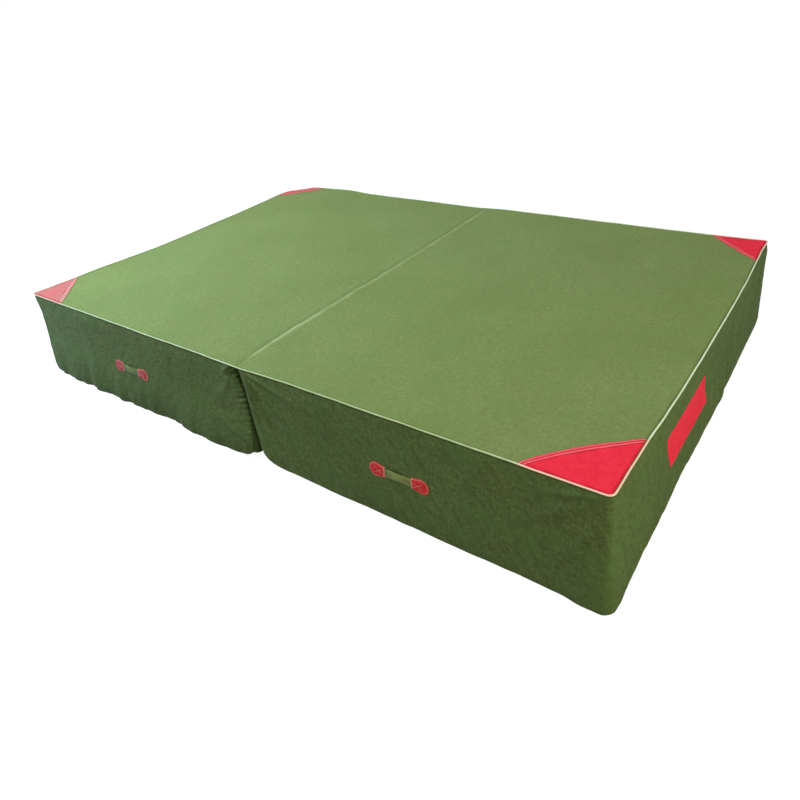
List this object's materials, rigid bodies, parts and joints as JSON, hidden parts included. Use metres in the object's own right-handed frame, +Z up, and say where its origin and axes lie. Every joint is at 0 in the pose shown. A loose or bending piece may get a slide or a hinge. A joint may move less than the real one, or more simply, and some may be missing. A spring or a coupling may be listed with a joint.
{
  "type": "folding gymnastics mat",
  "caption": "Thick foam landing mat in a green canvas cover, folding in half along its top, with red corner patches, piping, webbing carry handles and zipped inner walls.",
  "frame": {"origin": "middle of the underside, on the surface that the mat rests on", "axes": "+X along the mat's length from the left block to the right one, +Y away from the near long side, +Z up"},
  "size_m": [3, 2.0326, 0.44],
  "materials": {
    "green_canvas": "matte",
    "base_canvas": "matte",
    "red_cloth": "matte",
    "piping": "matte",
    "olive_webbing": "matte",
    "soft_foam": "matte",
    "firm_foam": "matte",
    "zip_tape": "matte",
    "zip_coil": "satin",
    "zip_metal": "satin"
  },
  "bodies": {
    "right_block": {"base_panel_right": "base_canvas", "corner_patch_far_right": "red_cloth", "corner_patch_near_right": "red_cloth", "end_patch_right": "red_cloth", "firm_foam_layer_right": "firm_foam", "foam_core_right": "soft_foam", "fold_tape": "olive_webbing", "handle_right_far_patch_left": "red_cloth", "handle_right_far_patch_right": "red_cloth", "handle_right_far_strap_left": "olive_webbing", "handle_right_far_strap_right": "olive_webbing", "handle_right_near_patch_left": "red_cloth", "handle_right_near_patch_right": "red_cloth", "handle_right_near_strap_left": "olive_webbing", "handle_right_near_strap_right": "olive_webbing", "inner_wall_right": "green_canvas", "piping_right": "piping", "top_panel_right": "green_canvas", "wall_strip_right": "green_canvas", "zip_coil_lower_right": "zip_coil", "zip_coil_upper_right": "zip_coil", "zip_stop_closed_end_right": "zip_metal", "zip_stop_open_end_right": "zip_metal", "zip_tape_lower_right": "zip_tape", "zip_tape_upper_right": "zip_tape"},
    "left_block": {"base_panel_left": "base_canvas", "corner_patch_far_left": "red_cloth", "corner_patch_near_left": "red_cloth", "firm_foam_layer_left": "firm_foam", "foam_core_left": "soft_foam", "handle_left_far_patch_left": "red_cloth", "handle_left_far_patch_right": "red_cloth", "handle_left_far_strap_left": "olive_webbing", "handle_left_far_strap_right": "olive_webbing", "handle_left_near_patch_left": "red_cloth", "handle_left_near_patch_right": "red_cloth", "handle_left_near_strap_left": "olive_webbing", "handle_left_near_strap_right": "olive_webbing", "inner_wall_left": "green_canvas", "piping_left": "piping", "top_panel_left": "green_canvas", "wall_strip_left": "green_canvas", "zip_coil_lower_left": "zip_coil", "zip_coil_upper_left": "zip_coil", "zip_stop_closed_end_left": "zip_metal", "zip_stop_open_end_left": "zip_metal", "zip_tape_lower_left": "zip_tape", "zip_tape_upper_left": "zip_tape"},
    "grip_left_near": {"handle_left_near_grip": "olive_webbing"},
    "grip_left_far": {"handle_left_far_grip": "olive_webbing"},
    "grip_right_near": {"handle_right_near_grip": "olive_webbing"},
    "grip_right_far": {"handle_right_far_grip": "olive_webbing"},
    "slider_left": {"zip_slider_left": "zip_metal"},
    "slider_right": {"zip_slider_right": "zip_metal"},
    "pull_left": {"zip_pull_left": "zip_metal"},
    "pull_right": {"zip_pull_right": "zip_metal"}
  },
  "joints": [
    {"name": "fold", "type": "hinge", "parent": "right_block", "child": "left_block", "pos_m": [0, 0, 0.4405], "axis": [0, 1, 0], "range_deg": [0, 180], "deforming": ["fold_tape"]},
    {"name": "handle_right_near_swing", "type": "hinge", "parent": "right_block", "child": "grip_right_near", "pos_m": [0.762, -0.99855, 0.2], "axis": [-1, 0, 0], "range_deg": [-20, 50], "deforming": ["handle_right_near_strap_left", "handle_right_near_strap_right"]},
    {"name": "handle_right_far_swing", "type": "hinge", "parent": "right_block", "child": "grip_right_far", "pos_m": [0.762, 0.99855, 0.2], "axis": [1, 0, 0], "range_deg": [-20, 50], "deforming": ["handle_right_far_strap_left", "handle_right_far_strap_right"]},
    {"name": "handle_left_near_swing", "type": "hinge", "parent": "left_block", "child": "grip_left_near", "pos_m": [-0.762, -0.99855, 0.2], "axis": [-1, 0, 0], "range_deg": [-20, 50], "deforming": ["handle_left_near_strap_left", "handle_left_near_strap_right"]},
    {"name": "handle_left_far_swing", "type": "hinge", "parent": "left_block", "child": "grip_left_far", "pos_m": [-0.762, 0.99855, 0.2], "axis": [1, 0, 0], "range_deg": [-20, 50], "deforming": ["handle_left_far_strap_left", "handle_left_far_strap_right"]},
    {"name": "zip_right_slide", "type": "slide", "parent": "right_block", "child": "slider_right", "axis": [0, 1, 0], "range_m": [0, 1.68]},
    {"name": "zip_pull_right_swing", "type": "hinge", "parent": "slider_right", "child": "pull_right", "pos_m": [0.02602, -0.8407, 0.21752], "axis": [-0.0957, 0, 0.9954], "range_deg": [0, 180]},
    {"name": "zip_left_slide", "type": "slide", "parent": "left_block", "child": "slider_left", "axis": [0, -1, 0], "range_m": [0, 1.68]},
    {"name": "zip_pull_left_swing", "type": "hinge", "parent": "slider_left", "child": "pull_left", "pos_m": [-0.02602, 0.8407, 0.21752], "axis": [0.0957, 0, 0.9954], "range_deg": [0, 180]}
  ]
}
